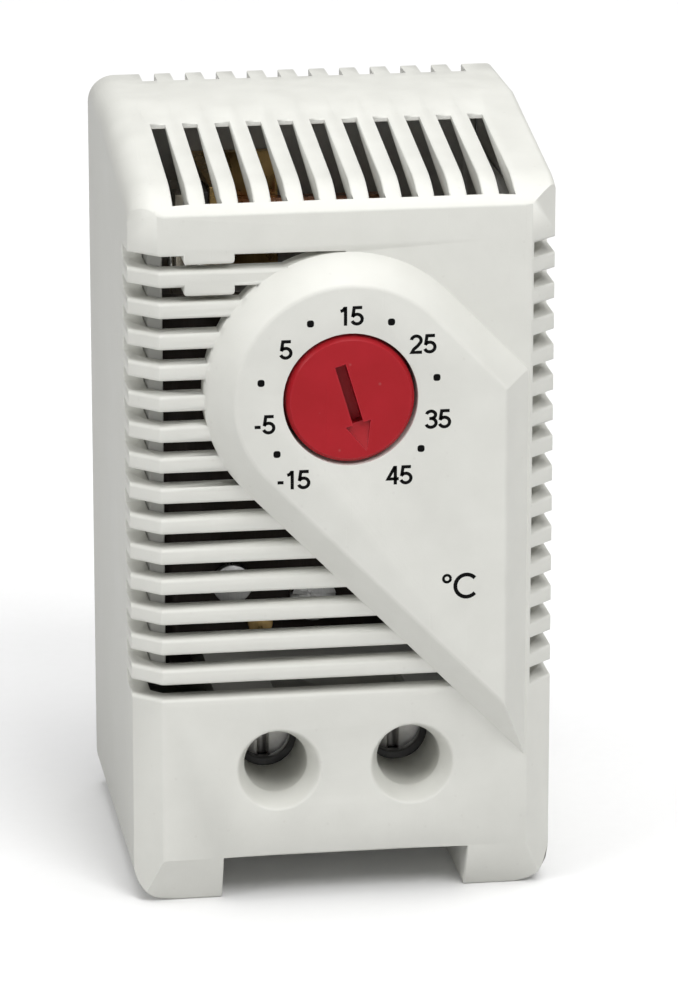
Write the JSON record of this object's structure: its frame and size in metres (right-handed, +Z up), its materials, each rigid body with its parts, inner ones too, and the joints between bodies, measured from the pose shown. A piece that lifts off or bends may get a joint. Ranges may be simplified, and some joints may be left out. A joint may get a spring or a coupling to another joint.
{
  "type": "din rail thermostat",
  "caption": "Small vented DIN rail thermostat: louvred light grey case, red slotted setting dial on a raised plate, screw terminals with floor wire entries, sprung rail latch.",
  "frame": {"origin": "middle of the bounding box at the underside of the feet; the front face looks along -Y and the rail foot along +Y", "axes": "+X to the right seen from the front, +Y from the front face to the rail, +Z up along the case's height"},
  "size_m": [0.033, 0.041, 0.06],
  "materials": {
    "case_plastic": "light grey moulded plastic, fine satin texture",
    "base_plastic": "light grey moulded plastic, satin",
    "latch_plastic": "dark grey moulded plastic",
    "spring_steel": "drawn spring wire",
    "dial_plastic": "red moulded plastic, soft gloss",
    "brass": "turned brass",
    "washer_rubber": "black rubber",
    "cam_plastic": "natural white plastic",
    "steel": "bright zinc-plated steel",
    "bimetal": "rolled bimetal, brassy on one side",
    "silver": "silver contact face",
    "copper": "stamped copper alloy, tinned edge",
    "magnet_ferrite": "dull dark ferrite",
    "screw_steel": "dull zinc-plated screw steel"
  },
  "bodies": {
    "housing": {"front_cover": "case_plastic", "rear_base": "base_plastic", "mechanism_frame": "steel", "frame_screws": "steel", "spindle_bush": "brass", "lever_pin": "steel", "lever_clip": "steel", "fixed_contact_arm": "copper", "fixed_contact": "silver", "snap_magnet": "magnet_ferrite", "contact_arm_rivets": "steel", "busbar_left": "copper", "busbar_right": "copper", "busbar_rivet": "steel", "latch_spring": "spring_steel"},
    "dial": {"setting_dial": "dial_plastic", "dial_spindle": "brass", "friction_washer": "washer_rubber", "setting_cam": "cam_plastic", "spindle_clip": "steel"},
    "lever": {"setting_lever": "cam_plastic"},
    "strip": {"bimetal_strip": "bimetal", "strip_rivets": "steel", "moving_contact": "silver", "armature": "steel"},
    "screw_left": {"terminal_screw_left": "screw_steel"},
    "screw_right": {"terminal_screw_right": "screw_steel"},
    "cage_left": {"clamp_cage_left": "steel"},
    "cage_right": {"clamp_cage_right": "steel"},
    "latch": {"rail_latch": "latch_plastic"}
  },
  "joints": [
    {"name": "dial_turn", "type": "hinge", "parent": "housing", "child": "dial", "pos_m": [0, -0.018, 0.04135], "axis": [0, 1, 0], "range_deg": [-326.6, 0]},
    {"name": "lever_tilt", "type": "hinge", "parent": "housing", "child": "lever", "pos_m": [-0.0075, -0.006, 0.0229], "axis": [0, 1, 0], "range_deg": [-1.9, 0]},
    {"name": "strip_bend", "type": "hinge", "parent": "lever", "child": "strip", "pos_m": [-0.0109, -0.0003, 0.0255], "axis": [0, -1, 0], "range_deg": [0, 1.5], "stiffness_Nm_per_rad": 0.01, "springref_deg": -5.73},
    {"name": "screw_left_turn", "type": "hinge", "parent": "housing", "child": "screw_left", "pos_m": [-0.00525, -0.008, 0.0109], "axis": [0, 1, 0], "range_deg": [0, 1800]},
    {"name": "cage_left_slide", "type": "slide", "parent": "housing", "child": "cage_left", "axis": [0, -1, 0], "range_m": [0, 0.0025]},
    {"name": "screw_right_turn", "type": "hinge", "parent": "housing", "child": "screw_right", "pos_m": [0.00525, -0.008, 0.0109], "axis": [0, 1, 0], "range_deg": [0, 1800]},
    {"name": "cage_right_slide", "type": "slide", "parent": "housing", "child": "cage_right", "axis": [0, -1, 0], "range_m": [0, 0.0025]},
    {"name": "latch_slide", "type": "slide", "parent": "housing", "child": "latch", "axis": [0, 0, -1], "range_m": [0, 0.003], "stiffness_N_per_m": 100, "springref_m": -0.01, "deforming": ["latch_spring"]}
  ],
  "couplings": [
    {"joint": "lever_tilt", "follows": "dial_turn", "ratio": 0.005705},
    {"joint": "screw_left_turn", "follows": "cage_left_slide", "rad_per_m": 12566},
    {"joint": "screw_right_turn", "follows": "cage_right_slide", "rad_per_m": 12566}
  ]
}
